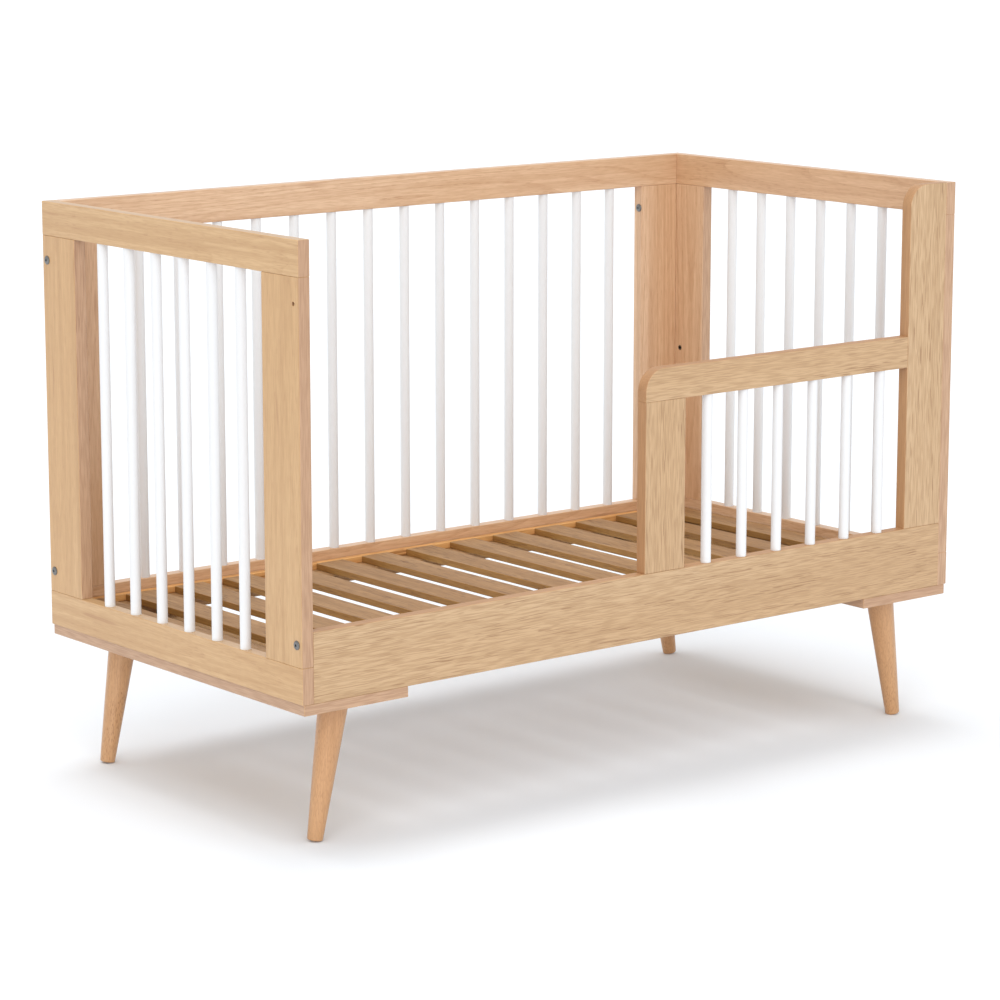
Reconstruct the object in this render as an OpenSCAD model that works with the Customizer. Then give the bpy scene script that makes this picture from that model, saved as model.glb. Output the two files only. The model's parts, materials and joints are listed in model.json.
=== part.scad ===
// Cot bed with a low guard rail at the front, on four splayed turned legs.
// +X runs along the length, the front is at -Y, and +Z is up.
// The origin is on the floor, under the middle of the bed.

/* [Mattress space] */
// Clear length between the two end panels
inner_l = 1402; // [1300:1:1500]
// Clear width between the back panel and the front board
inner_w = 702; // [660:1:760]

/* [Panels] */
// Thickness of every panel board
board_t = 22; // [20:1:26]
// Height of the panels, from the leg plates to the top
panel_h = 736; // [700:1:760]
// Height of the top rails
top_rail_h = 58; // [50:1:70]
// Height of the bottom rails
bottom_rail_h = 60; // [52:1:70]
// Width of the posts in the end panels
end_post_w = 100; // [90:1:110]
// Width of the posts in the back panel and the guard
side_post_w = 90; // [80:1:100]
// Radius of the rounded long edges of the boards
arris_r = 2; // [1:0.5:3]

/* [Spindles] */
// Diameter of the round spindles
spindle_d = 18; // [16:1:20]
// Depth of the holes that hold the spindle ends
spindle_socket = 12; // [8:1:15]
// Number of spindles in each end panel
end_spindles = 6; // [5:1:7]
// Number of spindles in the back panel
back_spindle_count = 14; // [13:1:15]
// Number of spindles under the guard rail
guard_spindle_count = 6; // [5:1:6]

/* [Front and guard] */
// Height of the low front board
front_board_h = 116; // [110:1:130]
// Length of the guard, from the right end panel to its free edge
guard_l = 711; // [690:1:740]
// Height of the guard rail's top above the leg plates
guard_top = 466; // [440:1:500]
// Height of the guard rail itself
guard_rail_h = 56; // [50:1:70]
// Radius of the rounded corners of the guard
guard_corner_r = 40; // [20:1:48]

/* [Legs] */
// Thickness of the leg plates
plate_t = 18; // [16:1:22]
// Width of the leg plates along the bed
plate_w = 206; // [190:1:220]
// Setback of a leg plate from the end panel's outer face
plate_setback = 3.5; // [2:0.5:6]
// Height from the floor to the underside of the leg plates
leg_h = 229; // [200:1:240]
// Outward tilt of the legs along the bed, in degrees
leg_tilt = 10; // [6:1:12]
// Distance of the leg centres from the front and back edges
leg_inset = 64; // [55:1:75]
// Leg diameter at the plate
leg_top_d = 50; // [44:1:56]
// Leg diameter at the foot
leg_foot_d = 26; // [24:1:32]
// Radius of the foot's rounded edge
foot_edge_r = 3; // [2:0.5:4]

/* [Mattress base] */
// Number of slats
slat_count = 14; // [12:1:15]
// Width of a slat
slat_w = 60; // [54:1:66]
// Thickness of a slat
slat_t = 12; // [10:1:14]
// Height of the slats' upper faces above the leg plates, at the lowest level
slat_top = 42; // [40:1:48]
// Width of the two long bearers under the slat ends
bearer_w = 65; // [60:1:80]
// Thickness of the bearers and the end rails
bearer_t = 18; // [16:1:20]
// Width of the strips that close the slat ends
strip_w = 14; // [12:1:16]
// Gap all round between the base and the panels
base_gap = 2.5; // [2:0.5:4]
// Height of the lowest support bolts above the leg plates
base_bolt_h = 15; // [14:1:17]
// Rise of the base from its lowest to its highest level
base_travel = 342; // [300:1:360]

/* [Fastenings] */
// Distance of the connector bolts from the front and back faces
bolt_inset = 14; // [12:1:15]
// Height of the lower connector bolts above the leg plates
bolt_low = 96; // [94:1:98]
// Height of the upper connector bolts above the leg plates
bolt_high = 636; // [600:1:640]
// Head diameter of the connector bolts and sleeve nuts
head_d = 15; // [13:1:17]
// Thickness of those heads
head_h = 2.5; // [2:0.5:3]

/* [Hidden] */
$fn = 48;
fit = 0.05; // radial clearance of a glued or screwed piece in its hole
bolt_d = 6; // shank of the connector and support bolts
bore_d = 7; // clearance hole of a connector bolt
bolt_past_nut = 8; // how far a short bolt runs on past its barrel nut
bore_past_nut = 12; // how far its hole does
long_bolt_gap = 15; // from a long bolt's end to the far side of its post
half_l = inner_l / 2;
half_w = inner_w / 2;
out_l = half_l + board_t;
out_w = half_w + board_t;
panel_z = leg_h + plate_t;
top_z = panel_z + panel_h;
low_seam_z = panel_z + bottom_rail_h;
top_seam_z = top_z - top_rail_h;
post_h = top_seam_z - low_seam_z;
board_mid_l = half_l + board_t / 2;
board_mid_w = half_w + board_t / 2;
end_opening = 2 * (out_w - end_post_w);
back_opening = 2 * (half_l - side_post_w);
end_pitch = (end_opening + spindle_d) / (end_spindles + 1);
back_pitch = (back_opening + spindle_d) / (back_spindle_count + 1);
front_top_z = panel_z + front_board_h;
guard_z = panel_z + guard_top - guard_rail_h;
guard_x = half_l - guard_l;
tall_x = half_l - side_post_w;
plate_end = out_l - plate_setback;
plate_step = 1; // a leg plate stops this far short of the panels' faces
plate_front = out_w - plate_step;
leg_x = plate_end - plate_w / 2;
leg_y = out_w - leg_inset;
foot_r = leg_foot_d / 2;
foot_lift = (foot_r - foot_edge_r) * sin(leg_tilt) + foot_edge_r * (1 - cos(leg_tilt));
leg_len = (leg_h - foot_lift) / cos(leg_tilt);
leg_spare = 10; // extra length that the plate's plane cuts off
leg_taper = (leg_top_d / 2 - foot_r) / leg_len;
leg_bolt_d = 8;
leg_insert_d = 12;
leg_bolt_depth = 45;
leg_bolt_gap = 3; // from a hanger bolt's end to the plate's upper face
leg_insert_gap = 2; // from an insert nut to the leg
leg_insert_h = 13;
dowel_d = 8;
dowel_l = 30;
end_dowels = [30, 70];
side_dowels = [22, 68];
guard_dowel_inset = 16; // from the guard rail's upper and lower edges
barrel_d = 10;
barrel_l = 14;
barrel_spare = 0.2; // depth left under a barrel nut
barrel_back = 40; // distance of a barrel nut from the board's end
sleeve_d = 9;
sleeve_l = 35;
sleeve_floor = 4; // solid stretch under a sleeve nut's head
socket_af = 4;
socket_depth = 2;
head_taper = 2; // how much narrower a head is at its outer face
shank_lap = 0.4; // how far a shank runs into its head
screw_d = 4;
screw_l = 38;
screw_head_d = 8;
screw_head_h = 3.5;
head_spare = 0.5; // depth of a counterbore beyond its screw head
end_screw_y = [-200, 0, 200];
side_screw_inset = 180; // from the end panel's outer face
side_screw_x = out_l - side_screw_inset;
base_l = half_l - base_gap;
base_w = half_w - base_gap;
slat_z = panel_z + slat_top - slat_t;
bearer_z = slat_z - bearer_t;
end_rail_gap = 2; // under the base's end rails, at the lowest level
end_rail_z = panel_z + end_rail_gap;
end_rail_h = slat_z - end_rail_z;
slat_pitch = (2 * base_l - slat_w) / (slat_count - 1);
slat_l = 2 * (base_w - strip_w);
support_inset = 14; // from the inner faces of the front and back panels
support_y = half_w - support_inset;
support_z = panel_z + base_bolt_h;
support_levels = [0, base_travel / 2, base_travel];
insert_d = 10;
insert_l = 14;
support_head_d = 12;
support_head_h = 3.3;
support_gap = 0.3; // play between the base and its support bolts
support_end_gap = 2; // from a support bolt's end to the bottom of its insert
head_pocket_l = 12; // pockets in the bearers that clear the support bolts' heads
head_pocket_w = 16;
slat_screw_d = 3.5;
slat_screw_head_d = 7;
slat_screw_head_h = 2.5;
slat_screw_bite = 8; // how far a screw reaches into its slat
slat_screw_inset = 20; // from the slat's end
slat_screw_y = slat_l / 2 - slat_screw_inset;

oak = [0.80, 0.67, 0.50];
beech = [0.83, 0.69, 0.52];
turned_beech = [0.80, 0.63, 0.46];
pine = [0.80, 0.62, 0.42];
white = [0.95, 0.95, 0.95];
zinc = [0.70, 0.71, 0.72];
dowel_wood = [0.88, 0.78, 0.62];

sides = ["left", "right"];
slat_names = [for (i = [1:slat_count]) str("slat_", i)];

// ---- shapes shared by the pieces ----

// A board's cross-section with four rounded corners
module rounded_section(w, h, r) {
    translate([r, 0]) square([w - 2 * r, h]);
    translate([0, r]) square([w, h - 2 * r]);
    for (x = [r, w - r], y = [r, h - r]) translate([x, y]) circle(r);
}

// Boards from one low corner, with their long edges rounded
module board_along_x(size) {
    rotate([90, 0, 90]) linear_extrude(size[0]) rounded_section(size[1], size[2], arris_r);
}

module board_along_y(size) {
    translate([0, size[1], 0]) rotate([90, 0, 0])
        linear_extrude(size[1]) rounded_section(size[0], size[2], arris_r);
}

module board_along_z(size) {
    linear_extrude(size[2]) rounded_section(size[0], size[1], arris_r);
}

// A front-panel board whose top left corner is rounded in the face
module corner_board(size, corner) {
    translate([0, size[1], 0]) rotate([90, 0, 0]) linear_extrude(size[1]) difference() {
        square([size[0], size[2]]);
        translate([0, size[2] - corner]) difference() {
            square(corner);
            translate([corner, 0]) circle(corner, $fn = 96);
        }
    }
}

// Round bars centred on an axis
module bar_x(d, l) { rotate([0, 90, 0]) cylinder(d = d, h = l, center = true); }
module bar_y(d, l) { rotate([90, 0, 0]) cylinder(d = d, h = l, center = true); }
module bar_z(d, l) { cylinder(d = d, h = l, center = true); }

// Everything on the right is the mirror of what is on the left
module on_side(s) { mirror([s > 0 ? 0 : 1, 0, 0]) children(); }

// ---- where things go ----

function end_spindle_y(i) = (i - (end_spindles - 1) / 2) * end_pitch;
function back_spindle_x(i) = (i - (back_spindle_count - 1) / 2) * back_pitch;
guard_inner_mid = (guard_x + side_post_w + tall_x) / 2;
function guard_spindle_x(i) = guard_inner_mid + (i - (guard_spindle_count - 1) / 2) * back_pitch;
slat_x = [for (i = [0:slat_count - 1]) -base_l + slat_w / 2 + i * slat_pitch];

// Positions of the dowels between an end panel's posts and rails
module at_end_dowels() {
    for (y = [-1, 1], d = end_dowels, z = [low_seam_z, top_seam_z])
        translate([board_mid_l, y * (out_w - d), z]) children();
}

module at_back_dowels() {
    for (x = [-1, 1], d = side_dowels, z = [low_seam_z, top_seam_z])
        translate([x * (half_l - d), board_mid_w, z]) children();
}

// Upright dowels of the guard, then its two level ones
module guard_dowel_bars(d, l) {
    for (x = side_dowels) {
        for (z = [front_top_z, guard_z])
            translate([guard_x + x, -board_mid_w, z]) bar_z(d, l);
        translate([half_l - x, -board_mid_w, front_top_z]) bar_z(d, l);
    }
    for (z = [guard_dowel_inset, guard_rail_h - guard_dowel_inset])
        translate([tall_x, -board_mid_w, guard_z + z]) bar_x(d, l);
}

// Axes of the support bolts in the right end panel, at the given heights
module at_supports(levels) {
    for (y = [-1, 1], z = levels)
        translate([half_l, y * support_y, support_z + z]) children();
}

// The right end's connector bolts: y is -1 at the front and 1 at the back
module at_bolt(y, h) { translate([half_l, y * (out_w - bolt_inset), panel_z + h]) children(); }

// A round bar across a board from its inner face, or from a little in front of that face
module barrel_seat(y, h, d, l, proud = 0) {
    at_bolt(y, h) translate([-barrel_back, 0, 0])
        translate([0, y * (bolt_inset - board_t + l / 2 - proud), 0]) bar_y(d, l);
}

// The hole that a short connector bolt and its barrel nut need in a board
module short_bolt_hole(y, h) {
    at_bolt(y, h) translate([-barrel_back, 0, 0]) rotate([0, 90, 0])
        translate([0, 0, -bore_past_nut]) cylinder(d = bore_d, h = bore_past_nut + barrel_back + 1);
    barrel_seat(y, h, barrel_d + 2 * fit, barrel_l + barrel_spare + 1, 1);
}

// The leg's own frame: +Z up along its axis, from the middle of the foot
module at_leg(y) {
    translate([leg_x + leg_h * tan(leg_tilt) - foot_lift * tan(leg_tilt), y * leg_y, foot_lift])
        rotate([0, -leg_tilt, 0]) children();
}

module end_screw_bars(d, l) {
    for (y = end_screw_y) translate([board_mid_l, y, leg_h + l / 2]) bar_z(d, l);
}

module side_screw_bars(y, d, l) {
    translate([side_screw_x, y * board_mid_w, leg_h + l / 2]) bar_z(d, l);
}

// ---- end panels ----

module end_rail(z, h) {
    translate([half_l, -out_w, z]) board_along_y([board_t, 2 * out_w, h]);
}

module end_spindle_bars(d) {
    for (i = [0:end_spindles - 1]) translate([board_mid_l, end_spindle_y(i), 0])
        translate([0, 0, low_seam_z - spindle_socket])
            cylinder(d = d, h = post_h + 2 * spindle_socket);
}

module end_top_rail(s) {
    color(beech) on_side(s) difference() {
        end_rail(top_seam_z, top_rail_h);
        end_spindle_bars(spindle_d + 2 * fit);
        at_end_dowels() bar_z(dowel_d + 2 * fit, dowel_l + 1);
    }
}

module end_bottom_rail(s) {
    color(beech) on_side(s) difference() {
        end_rail(panel_z, bottom_rail_h);
        end_spindle_bars(spindle_d + 2 * fit);
        at_end_dowels() bar_z(dowel_d + 2 * fit, dowel_l + 1);
        end_screw_bars(screw_d + 2 * fit, screw_l + 1);
        at_supports([0]) bar_x(insert_d + 2 * fit, 2 * insert_l + 1);
    }
}

// y is -1 for the front post and 1 for the back post
module end_post(s, y) {
    color(beech) on_side(s) difference() {
        translate([half_l, y > 0 ? out_w - end_post_w : -out_w, low_seam_z])
            board_along_z([board_t, end_post_w, post_h]);
        at_end_dowels() bar_z(dowel_d + 2 * fit, dowel_l + 1);
        for (h = [bolt_low, bolt_high]) at_bolt(y, h) bar_x(bore_d, 3 * board_t);
        at_supports([support_levels[1], support_levels[2]])
            bar_x(insert_d + 2 * fit, 2 * insert_l + 1);
    }
}

module end_spindles_group(s) {
    color(white) on_side(s) end_spindle_bars(spindle_d);
}

// ---- back panel ----

module back_rail(z, h) {
    translate([-half_l, half_w, z]) board_along_x([2 * half_l, board_t, h]);
}

module back_spindle_bars(d) {
    for (i = [0:back_spindle_count - 1]) translate([back_spindle_x(i), board_mid_w, 0])
        translate([0, 0, low_seam_z - spindle_socket])
            cylinder(d = d, h = post_h + 2 * spindle_socket);
}

module back_top_rail() {
    color(beech) difference() {
        back_rail(top_seam_z, top_rail_h);
        back_spindle_bars(spindle_d + 2 * fit);
        at_back_dowels() bar_z(dowel_d + 2 * fit, dowel_l + 1);
    }
}

module back_bottom_rail() {
    color(beech) difference() {
        back_rail(panel_z, bottom_rail_h);
        back_spindle_bars(spindle_d + 2 * fit);
        at_back_dowels() bar_z(dowel_d + 2 * fit, dowel_l + 1);
        for (s = [-1, 1]) on_side(s) side_screw_bars(1, screw_d + 2 * fit, screw_l + 1);
    }
}

module back_post(s) {
    color(beech) on_side(s) difference() {
        translate([tall_x, half_w, low_seam_z]) board_along_z([side_post_w, board_t, post_h]);
        at_back_dowels() bar_z(dowel_d + 2 * fit, dowel_l + 1);
        short_bolt_hole(1, bolt_low);
        at_bolt(1, bolt_high) bar_x(bore_d, 3 * side_post_w);
        at_bolt(1, bolt_high) translate([-side_post_w, 0, 0])
            bar_x(sleeve_d + 2 * fit, 2 * sleeve_l + 1);
    }
}

module back_spindles() { color(white) back_spindle_bars(spindle_d); }

// ---- front board and guard ----

module guard_spindle_bars(d) {
    for (i = [0:guard_spindle_count - 1]) translate([guard_spindle_x(i), -board_mid_w, 0])
        translate([0, 0, front_top_z - spindle_socket])
            cylinder(d = d, h = guard_z - front_top_z + 2 * spindle_socket);
}

module front_board() {
    color(oak) difference() {
        translate([-half_l, -out_w, panel_z])
            board_along_x([2 * half_l, board_t, front_board_h]);
        guard_spindle_bars(spindle_d + 2 * fit);
        guard_dowel_bars(dowel_d + 2 * fit, dowel_l + 1);
        for (s = [-1, 1]) on_side(s) {
            short_bolt_hole(-1, bolt_low);
            side_screw_bars(-1, screw_d + 2 * fit, screw_l + 1);
        }
    }
}

module guard_free_post() {
    color(oak) difference() {
        translate([guard_x, -out_w, front_top_z])
            board_along_z([side_post_w, board_t, guard_z - front_top_z]);
        guard_dowel_bars(dowel_d + 2 * fit, dowel_l + 1);
    }
}

module guard_rail() {
    color(oak) difference() {
        translate([guard_x, -out_w, guard_z])
            corner_board([tall_x - guard_x, board_t, guard_rail_h], guard_corner_r);
        guard_spindle_bars(spindle_d + 2 * fit);
        guard_dowel_bars(dowel_d + 2 * fit, dowel_l + 1);
    }
}

module guard_tall_post() {
    color(oak) difference() {
        translate([tall_x, -out_w, front_top_z])
            corner_board([side_post_w, board_t, top_z - front_top_z], guard_corner_r);
        guard_dowel_bars(dowel_d + 2 * fit, dowel_l + 1);
        short_bolt_hole(-1, bolt_high);
    }
}

module guard_spindles() { color(white) guard_spindle_bars(spindle_d); }

// ---- leg plates and legs ----

module leg_plate(s) {
    color(beech) on_side(s) difference() {
        translate([plate_end - plate_w, -plate_front, leg_h])
            board_along_y([plate_w, 2 * plate_front, plate_t]);
        for (y = [-1, 1]) {
            at_leg(y) translate([0, 0, leg_len]) bar_z(leg_insert_d + 2 * fit, 3 * plate_t);
            side_screw_bars(y, screw_d + 2 * fit, screw_l);
            side_screw_bars(y, screw_head_d + 2 * fit, screw_head_h + head_spare);
        }
        end_screw_bars(screw_d + 2 * fit, screw_l);
        end_screw_bars(screw_head_d + 2 * fit, screw_head_h + head_spare);
    }
}

// Turned outline of a leg: a rounded foot edge, then a straight taper
module leg_outline() {
    long = leg_len + leg_spare;
    steps = 6;
    polygon(concat([[0, 0]],
        [for (i = [0:steps]) let (a = 90 * i / steps)
            [foot_r - foot_edge_r + foot_edge_r * sin(a), foot_edge_r * (1 - cos(a))]],
        [[foot_r + long * leg_taper, long], [0, long]]));
}

module leg(s, y) {
    color(turned_beech) on_side(s) difference() {
        at_leg(y) rotate_extrude($fn = 96) leg_outline();
        at_leg(y) translate([0, 0, leg_len]) bar_z(leg_bolt_d + 2 * fit, 2 * leg_bolt_depth + 2);
        translate([leg_x - leg_top_d, y * leg_y - leg_top_d, leg_h])
            cube([2 * leg_top_d, 2 * leg_top_d, 3 * leg_spare]);
    }
}

module leg_hanger_bolts() {
    color(zinc) for (s = [-1, 1], y = [-1, 1]) on_side(s) at_leg(y)
        translate([0, 0, leg_len - leg_bolt_depth])
            cylinder(d = leg_bolt_d, h = leg_bolt_depth + plate_t - leg_bolt_gap);
}

module leg_insert_nuts() {
    color(zinc) for (s = [-1, 1], y = [-1, 1]) on_side(s) at_leg(y)
        translate([0, 0, leg_len + leg_insert_gap]) difference() {
            cylinder(d = leg_insert_d, h = leg_insert_h);
            translate([0, 0, -1]) cylinder(d = leg_bolt_d + 2 * fit, h = plate_t);
        }
}

module plate_screws() {
    color(zinc) for (s = [-1, 1]) on_side(s) {
        end_screw_bars(screw_d, screw_l);
        end_screw_bars(screw_head_d, screw_head_h);
        for (y = [-1, 1]) {
            side_screw_bars(y, screw_d, screw_l);
            side_screw_bars(y, screw_head_d, screw_head_h);
        }
    }
}

// ---- dowels and connectors ----

module end_dowel_pins() {
    color(dowel_wood) for (s = [-1, 1]) on_side(s) at_end_dowels() bar_z(dowel_d, dowel_l);
}

module back_dowel_pins() { color(dowel_wood) at_back_dowels() bar_z(dowel_d, dowel_l); }

module guard_dowel_pins() { color(dowel_wood) guard_dowel_bars(dowel_d, dowel_l); }

// Head with a hexagon socket, standing on the X = 0 plane towards +X
module socket_head(d, h) {
    rotate([0, 90, 0]) difference() {
        cylinder(d1 = d, d2 = d - head_taper, h = h);
        translate([0, 0, h - socket_depth])
            cylinder(d = socket_af / cos(30), h = 2 * socket_depth, $fn = 6);
    }
}

module connector_bolt(l) {
    socket_head(head_d, head_h);
    translate([-l, 0, 0]) rotate([0, 90, 0]) cylinder(d = bolt_d, h = l + shank_lap);
}

module long_connector_bolts() {
    color(zinc) for (s = [-1, 1]) on_side(s)
        at_bolt(1, bolt_high) translate([board_t, 0, 0])
            connector_bolt(board_t + side_post_w - long_bolt_gap);
}

module sleeve_nuts() {
    color(zinc) for (s = [-1, 1]) on_side(s)
        at_bolt(1, bolt_high) translate([-side_post_w, 0, 0]) {
            mirror([1, 0, 0]) socket_head(head_d, head_h);
            rotate([0, 90, 0]) difference() {
                cylinder(d = sleeve_d, h = sleeve_l);
                translate([0, 0, sleeve_floor]) cylinder(d = bolt_d + 2 * fit, h = sleeve_l);
            }
        }
}

// The four lower corners, and the tall post at the top
module at_short_bolts() {
    for (s = [-1, 1], y = [-1, 1]) on_side(s) at_bolt(y, bolt_low) children();
    at_bolt(-1, bolt_high) children();
}

module short_connector_bolts() {
    color(zinc) at_short_bolts() translate([board_t, 0, 0])
        connector_bolt(board_t + barrel_back + bolt_past_nut);
}

module barrel_nut(y, h) {
    difference() {
        barrel_seat(y, h, barrel_d, barrel_l);
        at_bolt(y, h) bar_x(bolt_d + 2 * fit, 3 * barrel_back);
    }
}

module barrel_nuts() {
    color(zinc) {
        for (s = [-1, 1], y = [-1, 1]) on_side(s) barrel_nut(y, bolt_low);
        barrel_nut(-1, bolt_high);
    }
}

// ---- mattress base and its supports ----

module support_inserts() {
    color(zinc) for (s = [-1, 1]) on_side(s) at_supports(support_levels) rotate([0, 90, 0])
        difference() {
            cylinder(d = insert_d, h = insert_l);
            translate([0, 0, -1]) cylinder(d = bolt_d + 2 * fit, h = insert_l);
        }
}

// Bolts whose heads trap the base's end rails at the lowest level
module support_bolts() {
    grip = base_gap + bearer_t + support_gap;
    color(zinc) for (s = [-1, 1]) on_side(s) at_supports([0]) translate([-grip, 0, 0]) {
        mirror([1, 0, 0]) socket_head(support_head_d, support_head_h);
        rotate([0, 90, 0]) translate([0, 0, -shank_lap])
            cylinder(d = bolt_d, h = grip + insert_l - support_end_gap);
    }
}

// y is -1 at the front and 1 at the back
module base_bearer(y) {
    l = base_l - bearer_t;
    color(pine) difference() {
        translate([-l, y > 0 ? base_w - bearer_w : -base_w, bearer_z])
            board_along_x([2 * l, bearer_w, bearer_t]);
        for (s = [-1, 1]) on_side(s)
            translate([l - head_pocket_l, y * support_y - head_pocket_w / 2, bearer_z - 1])
                cube([head_pocket_l + 1, head_pocket_w, bearer_t + 2]);
        slat_screw_bars(y, slat_screw_d + 2 * fit, bearer_t + slat_t);
        slat_screw_bars(y, slat_screw_head_d + 2 * fit, slat_screw_head_h + head_spare);
    }
}

module base_end_rail(s) {
    notch = bolt_d + 2 * support_gap;
    color(pine) on_side(s) difference() {
        translate([base_l - bearer_t, -base_w, end_rail_z])
            board_along_y([bearer_t, 2 * base_w, end_rail_h]);
        for (y = [-1, 1]) translate([base_l, y * support_y, support_z]) {
            bar_x(notch, 3 * bearer_t);
            translate([-2 * bearer_t, -notch / 2, -bearer_t]) cube([3 * bearer_t, notch, bearer_t]);
        }
    }
}

module base_strip(y) {
    color(pine) translate([-base_l, y > 0 ? base_w - strip_w : -base_w, slat_z])
        cube([2 * base_l, strip_w, slat_t]);
}

module slat(i) {
    color(pine) difference() {
        translate([slat_x[i] - slat_w / 2, -slat_l / 2, slat_z])
            board_along_y([slat_w, slat_l, slat_t]);
        for (y = [-1, 1]) translate([slat_x[i], y * slat_screw_y, slat_z])
            bar_z(slat_screw_d + 2 * fit, 2 * (slat_screw_bite + head_spare));
    }
}

// One bar for each slat, rising from the underside of the bearer at y
module slat_screw_bars(y, d, l) {
    for (x = slat_x) translate([x, y * slat_screw_y, bearer_z + l / 2]) bar_z(d, l);
}

module slat_screws() {
    color(zinc) for (y = [-1, 1]) {
        slat_screw_bars(y, slat_screw_d, bearer_t + slat_screw_bite);
        slat_screw_bars(y, slat_screw_head_d, slat_screw_head_h);
    }
}

// ---- one line for each node ----

for (k = [0, 1]) {
    s = k == 0 ? -1 : 1;
    end_top_rail(s);
    end_bottom_rail(s);
    end_post(s, -1);
    end_post(s, 1);
    end_spindles_group(s);
    back_post(s);
    leg_plate(s);
    leg(s, -1);
    leg(s, 1);
    base_end_rail(s);
}
back_top_rail();
back_bottom_rail();
back_spindles();
front_board();
guard_free_post();
guard_tall_post();
guard_rail();
guard_spindles();
leg_hanger_bolts();
leg_insert_nuts();
plate_screws();
end_dowel_pins();
back_dowel_pins();
guard_dowel_pins();
long_connector_bolts();
sleeve_nuts();
short_connector_bolts();
barrel_nuts();
support_bolts();
support_inserts();
base_bearer(-1);  // base_front_bearer
base_bearer(1);  // base_back_bearer
base_strip(-1);  // base_front_strip
base_strip(1);  // base_back_strip
slat_screws();
for (i = [0:slat_count - 1]) slat(i);
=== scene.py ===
# %% [markdown]
# # A cot bed with a low guard rail
# The bed is a set of flat panels bolted together: two ends, a back, a low front with a guard, a slatted
# base that can be set at three heights, and four turned legs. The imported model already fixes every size
# and place, so each piece here is measured from it and only the looks are new.

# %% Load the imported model
import json
import math

import bpy
import numpy as np
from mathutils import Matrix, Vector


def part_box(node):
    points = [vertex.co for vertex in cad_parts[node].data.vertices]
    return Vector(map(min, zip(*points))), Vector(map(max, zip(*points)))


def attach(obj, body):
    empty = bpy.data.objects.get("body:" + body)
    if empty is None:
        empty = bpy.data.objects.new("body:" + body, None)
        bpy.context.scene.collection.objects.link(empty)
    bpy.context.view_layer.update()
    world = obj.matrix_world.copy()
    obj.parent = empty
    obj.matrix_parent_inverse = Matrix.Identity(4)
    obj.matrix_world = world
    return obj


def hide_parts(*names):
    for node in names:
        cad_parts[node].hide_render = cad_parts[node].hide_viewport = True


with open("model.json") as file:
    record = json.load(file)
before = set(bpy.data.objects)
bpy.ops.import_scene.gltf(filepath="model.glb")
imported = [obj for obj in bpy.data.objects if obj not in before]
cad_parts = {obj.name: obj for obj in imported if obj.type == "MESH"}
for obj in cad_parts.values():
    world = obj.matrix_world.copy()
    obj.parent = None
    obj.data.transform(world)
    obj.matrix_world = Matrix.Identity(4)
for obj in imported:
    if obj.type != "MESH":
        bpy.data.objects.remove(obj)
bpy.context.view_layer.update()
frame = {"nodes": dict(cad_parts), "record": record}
record = frame["record"]
scene = bpy.context.scene
body_of = {node: body for body, nodes in record["behaviour"]["bodies"].items() for node in nodes}

# %% [markdown]
# ## Camera
# The bed is seen from its front left corner, from above its top rails, through a long lens, so that its
# long edges converge only slightly. A shifted lens would keep the uprights parallel, but it would push
# the bed out of the middle of every other view, so the camera is tipped down instead.

# %% Camera
CAMERA_PLACE = (-3.794, -4.677, 1.594)
CAMERA_YAW = 38.87
CAMERA_PITCH = 10.9
CAMERA_LENS = 124.5
SENSOR_WIDTH = 36

camera = bpy.data.objects.new("camera", bpy.data.cameras.new("camera"))
scene.collection.objects.link(camera)
camera.data.sensor_width = SENSOR_WIDTH
camera.data.lens = CAMERA_LENS
camera.location = CAMERA_PLACE
camera.rotation_euler = (math.radians(90 - CAMERA_PITCH), 0, math.radians(-CAMERA_YAW))
scene.camera = camera
print("camera at", CAMERA_PLACE)

# %% [markdown]
# ## Surfaces
# Three kinds of shape make the whole bed. A board is a rounded rectangle carried along a straight path,
# a turned piece is a profile carried round an axis, and a guard board is an outline carried through its
# thickness. All three are grids of points, so one function turns any grid into a closed mesh.

# %% Turn a grid of points into a closed solid
def solid(grid):
    """Closed solid from a grid that joins up along its columns: one quad between neighbouring points,
    and one flat face over the first and over the last row. The walls' normals, summed along the way out
    from the middle, say whether the faces have to be turned round."""
    rows, columns = grid.shape[:2]
    row, column = np.meshgrid(np.arange(rows - 1), np.arange(columns), indexing="ij")
    after = (column + 1) % columns
    quads = np.stack([row * columns + column, row * columns + after,
                      (row + 1) * columns + after, (row + 1) * columns + column], -1).reshape(-1, 4)
    caps = np.stack([np.arange(columns)[::-1], (rows - 1) * columns + np.arange(columns)])
    points = grid.reshape(-1, 3)
    corner = points[quads]
    normal = np.cross(corner[:, 2] - corner[:, 0], corner[:, 3] - corner[:, 1])
    if (normal * (corner.mean(1) - points.mean(0))).sum() < 0:
        quads, caps = quads[:, ::-1], caps[:, ::-1]
    return points, quads, caps


test_box = solid(np.array([[[x, y, z] for x, y in ((0, 0), (1, 0), (1, 1), (0, 1))] for z in (0, 1)]))
print("a test box has", len(test_box[1]) + len(test_box[2]), "faces")

# %% [markdown]
# Several solids can share one object, as the spindles of a row do. Flat faces beside a rounding would be
# shaded as if they curved, because smooth shading averages the normals. Marking the sharp turns and
# weighting each normal by the size of its face keeps them flat.

# %% Make a piece and let it stand for a node
SHARP_TURN = math.radians(50)


def piece(name, solids, material):
    """One object from several solids, smooth over its roundings and sharp where faces turn by more than
    SHARP_TURN."""
    starts = np.cumsum([0] + [len(points) for points, _, _ in solids])
    faces = []
    for first, (_, quads, caps) in zip(starts, solids):
        faces += (quads + first).tolist() + (caps + first).tolist()
    mesh = bpy.data.meshes.new(name)
    mesh.from_pydata(np.concatenate([points for points, _, _ in solids]).tolist(), [], faces)
    mesh.shade_smooth()
    mesh.set_sharp_from_angle(angle=SHARP_TURN)
    mesh.materials.append(material)
    made = bpy.data.objects.new(name, mesh)
    scene.collection.objects.link(made)
    return made


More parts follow.
